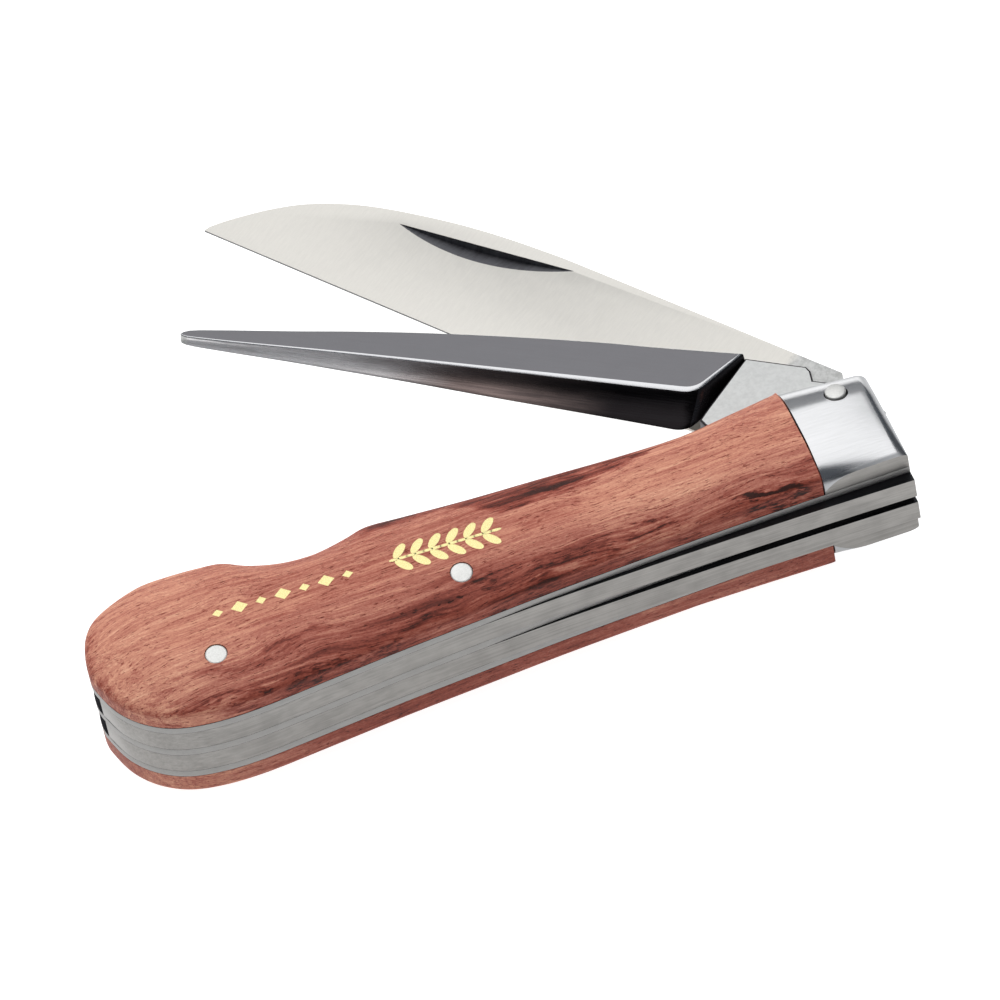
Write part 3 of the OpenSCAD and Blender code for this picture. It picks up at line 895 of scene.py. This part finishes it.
def blade_cutters(z_low, materials):
    """The two grinds, and the nail nick that a tilted wheel cuts."""
    size = (0, -60, 0), (110, 60, 5)
    above = Matrix.Translation((GRIND_START, BLADE_BACK_Y, TOOL_T)) @ Matrix.Rotation(GRIND, 4, "X")
    below = Matrix.Diagonal((1, 1, -1, 1))
    below = Matrix.Translation((0, 0, TOOL_T)) @ below @ above
    a, b = np.array(NICK[0]), np.array(NICK[1])
    length = np.linalg.norm(b - a)
    drop = (BLADE_BACK_Y - (a[1] + b[1]) / 2) * math.tan(GRIND)
    place = (Matrix.Translation((*a, TOOL_T - drop - NICK_W * math.tan(NICK_TILT)))
             @ Matrix.Rotation(math.atan2(b[1] - a[1], b[0] - a[0]), 4, "Z")
             @ Matrix.Translation((length / 2, 0, 0)) @ Matrix.Rotation(-NICK_TILT, 4, "X"))
    wheel = [(NICK_WHEEL_R * math.sin(t), NICK_WHEEL_R * (1 - math.cos(t)))
             for t in np.linspace(-0.25, 0.25, 90)]
    nick = [np.array([place @ Vector((x, y, z)) for x, z in wheel]) for y in (0, -2 * NICK_W)]
    # The nick's cut faces take the third material, painted shade in the recess
    groups = ((box_rings(*size, above), 0), (box_rings(*size, below), 0), (nick, 2))
    return [piece("cutter", tool_rings(rings, BLADE_REST, z_low), materials,
                  tint=lambda k, i, index=index: index, cap_tints=(index, index))
            for rings, index in groups]


def make_blade(name, node, materials):
    z_low = layer(node)[0]
    plan = np.vstack([curve(TANG_END, 3)[:-1], [(0, TANG_FLAT), (STOP_X, TANG_FLAT)],
                      [(STOP_X + 0.6, 9.4)], curve(BLADE_BACK, 8), BLADE_HEEL])
    plan = even(plan, 1.5)
    rings = [at_height(plan, z) for z in (0, TOOL_T)]

    def tint(k, i):
        return int(plan[i][1] < BLADE_EDGE_Y + 0.01 and plan[i][0] > BLADE_HEEL[0][0])
    made = piece(name, tool_rings(rings, BLADE_REST, z_low), materials, tint)
    cut(made, *blade_cutters(z_low, materials), drill(PIVOT, PIN_R + BORE_GAP))
    settle(made, "blade", "blade_steel", node)


def rounded(a, corner, b, r, steps=6):
    """Points of a rounded corner, on a curve that starts and ends r from it."""
    a, corner, b = (np.array(p, float) for p in (a, corner, b))
    start = corner + (a - corner) / np.linalg.norm(a - corner) * r
    end = corner + (b - corner) / np.linalg.norm(b - corner) * r
    return [(1 - t) ** 2 * start + 2 * t * (1 - t) * corner + t ** 2 * end
            for t in np.arange(steps + 1) / steps]


def reamer_lines():
    """Matching outlines of the reamer's top and underside, and which points are on its near side."""
    far = curve([SHOULDER_TOP[0]] + [(q[0], q[1]) for q in REAMER], 6)
    near = curve([SHOULDER_TOP[1]] + [(q[0], q[2]) for q in REAMER], 6)
    low = curve([SHOULDER_LOW[1]] + [(q[0], q[3]) for q in REAMER], 6)
    far_low = np.column_stack([far[:, 0], lerp(far[:, 1], low[:, 1], 0.3)])
    far_low[0] = SHOULDER_LOW[0]
    top = [*far, *(p for p, _ in REAMER_TIP), *near[:2:-1],
           *rounded(near[1], near[0], far[0], SHOULDER_ROUND),
           *(lerp(near[0], far[0], t) for t in SHOULDER_SHARES)]
    under = [*far_low, *(p for _, p in REAMER_TIP), *low[:2:-1],
             *rounded(low[1], low[0], far_low[0], SHOULDER_ROUND),
             *(lerp(low[0], far_low[0], t) for t in SHOULDER_SHARES)]
    top, under = np.array(top), np.array(under)
    far_y, near_y = (np.interp(top[:, 0], line[:, 0], line[:, 1]) for line in (far, near))
    share = (top[:, 1] - near_y) / (far_y - near_y)
    near_from = len(far) + len(REAMER_TIP) - 1
    shoulder_from = near_from + len(near) + 2
    return top, under, 1 - np.clip(share, 0, 1), (near_from, shoulder_from)


def reamer_rings():
    top, under, near, _ = reamer_lines()
    share = np.clip((top[:, 0] - REAMER_START) / (REAMER_END - REAMER_START), 0, 1)
    low_z = (TOOL_T - REAMER_TIP_T) * share
    depth = TOOL_T - low_z
    width = np.maximum(0.3, top[:, 1] - under[:, 1])
    hollow = near * HOLLOW * np.minimum(1, width / 4 + 0.15)
    soft = lerp(0.25, 0.6, near) * depth / TOOL_T

    def ring(down, rim):
        t = down / depth
        flat = top + (under - top) * t[:, None]
        flat[:, 1] += hollow * 4 * t * (1 - t)
        return at_height(inset(flat, rim), TOOL_T - down)

    rings = [ring(0 * depth, soft + 0.15)]
    for a in np.linspace(0, math.pi / 2, 6):
        rings.append(ring(soft * (1 - math.cos(a)), soft * (1 - math.sin(a))))
    for t in np.arange(1, 8) / 8:
        rings.append(ring(lerp(soft, depth, t), 0 * depth))
    rings.append(ring(depth - 0.05, 0 * depth))
    rings.append(ring(depth, 0 * depth + 0.05))
    return rings


def make_reamer(name, node, materials):
    z_low = layer(node)[0]
    plan = [*curve(TANG_END, 3)[:-1], (0, TANG_FLAT), (STOP_X, TANG_FLAT), (6.6, 8.6), (7.4, 9.3),
            (16, 9.4), (18.5, -1), (18.8, -2.6), (17.8, -3.4), (10, -6.4)]
    plan = even(plan, 1.5)
    tang = round_rings(plan, 0, TOOL_T - TANG_RELIEF, TANG_ROUND)
    near_from, shoulder_from = reamer_lines()[-1]

    def tint(k, i):
        # The rounding's rings take the rim's lighter steel, a painted highlight; the flat top takes the
        # darker copy, painted shade
        if k < 4:
            return REAMER_TOP if k == 0 else REAMER_EDGE
        if i < near_from:
            return REAMER_TANG
        return REAMER_HOLLOW if i < shoulder_from else REAMER_SHOULDER

    # The tang's and boss's walls take the shoulder's near-black steel, painted shade along their outline
    def tang_tint(k, i):
        return REAMER_SHOULDER

    both = (REAMER_TANG, REAMER_TANG)
    boss = [at_height(circle(PIVOT, BOSS_R), z_low + z) for z in (0, TOOL_T)]
    made = piece(name, tool_rings(reamer_rings(), REAMER_REST, z_low), materials, tint,
                 (REAMER_TOP, REAMER_TANG))
    others = [piece("tang", tool_rings(tang, REAMER_REST, z_low), materials, tang_tint, both),
              piece("boss", boss, materials, tang_tint, both)]
    for other in others:
        union = made.modifiers.new("join", "BOOLEAN")
        union.operation = "UNION"
        union.solver = "EXACT"
        union.object = other
    bake(made)
    for other in others:
        bpy.data.objects.remove(other)
    cut(made, drill(PIVOT, PIN_R + BORE_GAP))
    settle(made, "reamer", "reamer_steel", node)


# ---------------------------------------------------------------- studio

CAMERA_LENS = 324
CAMERA_ANGLES = (-10.2, 46, 12)             # azimuth, elevation and roll, in degrees
CAMERA_TARGET = (0.0042, 0.0100, 0.0142)    # in metres, like the distance
CAMERA_DISTANCE = 9 / 0.0076 * MM
FLOOR_HALF = 3000
FLOOR_T = 4

def look(azimuth, elevation, roll, target, distance):
    """World matrix of a camera at these angles, in degrees, that looks at the target."""
    a, e, r = (math.radians(x) for x in (azimuth, elevation, roll))
    back = Vector((math.sin(a) * math.cos(e), -math.cos(a) * math.cos(e), math.sin(e)))
    right = Vector((math.cos(a), math.sin(a), 0))
    up = back.cross(right)
    turned_right = right * math.cos(r) - up * math.sin(r)
    turned_up = right * math.sin(r) + up * math.cos(r)
    place = Matrix((turned_right, turned_up, back)).transposed().to_4x4()
    place.translation = Vector(target) + back * distance
    return place


def add_camera():
    data = bpy.data.cameras.new("camera")
    data.sensor_width = 36
    data.lens = CAMERA_LENS
    data.clip_start = 0.05
    data.clip_end = 20
    camera = bpy.data.objects.new("camera", data)
    bpy.context.scene.collection.objects.link(camera)
    camera.matrix_world = look(*CAMERA_ANGLES, CAMERA_TARGET, CAMERA_DISTANCE)
    bpy.context.scene.camera = camera


def add_softbox(name, azimuth, elevation, distance, width, height, radiance, glossy=True):
    """Area light that faces the object from a direction, with the given brightness."""
    data = bpy.data.lights.new(name, "AREA")
    data.shape = "RECTANGLE"
    data.size = width
    data.size_y = height
    data.energy = radiance * 4 * width * height
    light = bpy.data.objects.new(name, data)
    bpy.context.scene.collection.objects.link(light)
    light.matrix_world = look(azimuth, elevation, 0, (0, 0, 0.01), distance)
    light.visible_glossy = glossy
    light.visible_camera = False


def add_floor():
    p = Paint("floor")
    p.set(Base_Color=(0.4, 0.4, 0.4), Roughness=0.9, Emission_Color=(1, 1, 1),
          Emission_Strength=0.95)
    corners = np.array([(-1, -1), (1, -1), (1, 1), (-1, 1)]) * FLOOR_HALF
    floor = piece("floor", [at_height(corners, z) for z in (-FLOOR_T, 0)])
    floor.data.materials.append(p.material)


def add_studio():
    add_camera()
    add_floor()
    scene = bpy.context.scene
    scene.view_settings.view_transform = "Standard"
    world = bpy.data.worlds.new("studio")
    scene.world = world
    world.use_nodes = True
    background = world.node_tree.nodes["Background"]
    background.inputs["Color"].default_value = (0.8, 0.88, 1, 1)
    background.inputs["Strength"].default_value = 0.12
    add_softbox("main", 180, 68, 1.0, 0.95, 1.35, 1.12)
    add_softbox("low", 180, 20, 1.2, 1.6, 0.5, 0.2)
    add_softbox("fill", 180, 70, 2.0, 4.0, 4.0, 1.0, glossy=False)


add_studio()

WOOD = wood()
SATIN = steel("satin_steel", (0.285, 0.276, 0.263), 0.34, 0.32, lines=(0.03, 3.0, 3.0))
LINER_EDGE = steel("liner_edge_steel", (0.36, 0.352, 0.34), 0.25, 0.5, metallic=0.4,
                   lines=(0.05, 6.0, 6.0))
# Near-black painted shade on the flat faces of the liners and springs
PAINTED_SHADE = steel("painted_shade_steel", (0.05, 0.05, 0.055), 0.3, 0.4)
make_scale("lower_scale_wood", "lower_scale", scale_rings(LOWER_FULLER), WOOD)
make_scale("upper_scale_wood", "upper_scale", turned_over(scale_rings()), WOOD)
for node, z in (("lower_liner", LOW_LINER), ("centre_liner", MID_LINER), ("upper_liner", TOP_LINER)):
    make_liner(f"{node}_plate", node, z, (LINER_EDGE, PAINTED_SHADE))
make_spring("blade_spring_bar", "blade_backspring", BLADE_SPRING, (SATIN, PAINTED_SHADE))
make_spring("reamer_spring_bar", "reamer_backspring", REAMER_SPRING, (SATIN, PAINTED_SHADE))
POLISHED = bolster_steel()
RIVET_STEEL = steel("rivet_steel", (0.74, 0.735, 0.71), 0.25, 0.4, metallic=0.6, lines=(4.0, 4.0, 4.0),
                    depth=0.01)
BLADE_STEEL = steel("blade_steel", (0.65, 0.63, 0.587), 0.1, 0.42, metallic=0.6, turned=BLADE_REST,
                    lines=(3.0, 0.4, 3.0), depth=0.002, mottle=0.25, root=15)
EDGE_STEEL = steel("blade_edge_steel", (0.12, 0.12, 0.125), 0.2, 0.35, turned=BLADE_REST)
# Dark steel on the nail nick's walls: painted shade in the recess
NICK_PAINTED_SHADE = steel("nick_painted_shade", (0.2, 0.2, 0.215), 0.4, 0.5, turned=BLADE_REST, lines=(2.0, 0.3, 0.3))
# The top and rim steels are darker and lighter copies of one steel, painted shade and a painted
# highlight; the shoulder's near-black steel is painted shade
REAMER_STEELS = (
    steel("reamer_top_painted_shade", (0.15, 0.148, 0.157), 0.1, 0.22, turned=REAMER_REST, lines=(0.1, 4.0, 4.0),
          depth=0.001),
    steel("reamer_rim_painted_highlight", (0.6, 0.6, 0.61), 0.06, 0.25, turned=REAMER_REST, depth=0.0005),
    hollow_steel(),
    steel("tang_steel", (0.56, 0.565, 0.555), 0.18, 0.4, metallic=0.5, lines=(1.2, 1.2, 1.2),
          depth=0.004, mottle=0.6),
    steel("shoulder_painted_shade", (0.09, 0.083, 0.088), 0.3, 0.25))
make_bolster("lower_bolster_shell", "lower_bolster", bolster_rings(), (POLISHED, SATIN))
make_bolster("upper_bolster_shell", "upper_bolster", turned_over(bolster_rings()), (POLISHED, SATIN))
make_rivet("middle_rivet_head", "middle_rivet", RIVET_STEEL)
make_rivet("butt_rivet_head", "butt_rivet", RIVET_STEEL)
add_ornament(foil())
make_pivot_pin("pivot_pin_domed", "pivot_pin", RIVET_STEEL)
make_blade("blade_ground", "blade", (BLADE_STEEL, EDGE_STEEL, NICK_PAINTED_SHADE))
make_reamer("reamer_ground", "reamer", REAMER_STEELS)
for node in ("upper_bolster_pins", "lower_bolster_pins"):
    mesh = frame["nodes"][node].data
    mesh.materials.clear()
    mesh.materials.append(RIVET_STEEL)
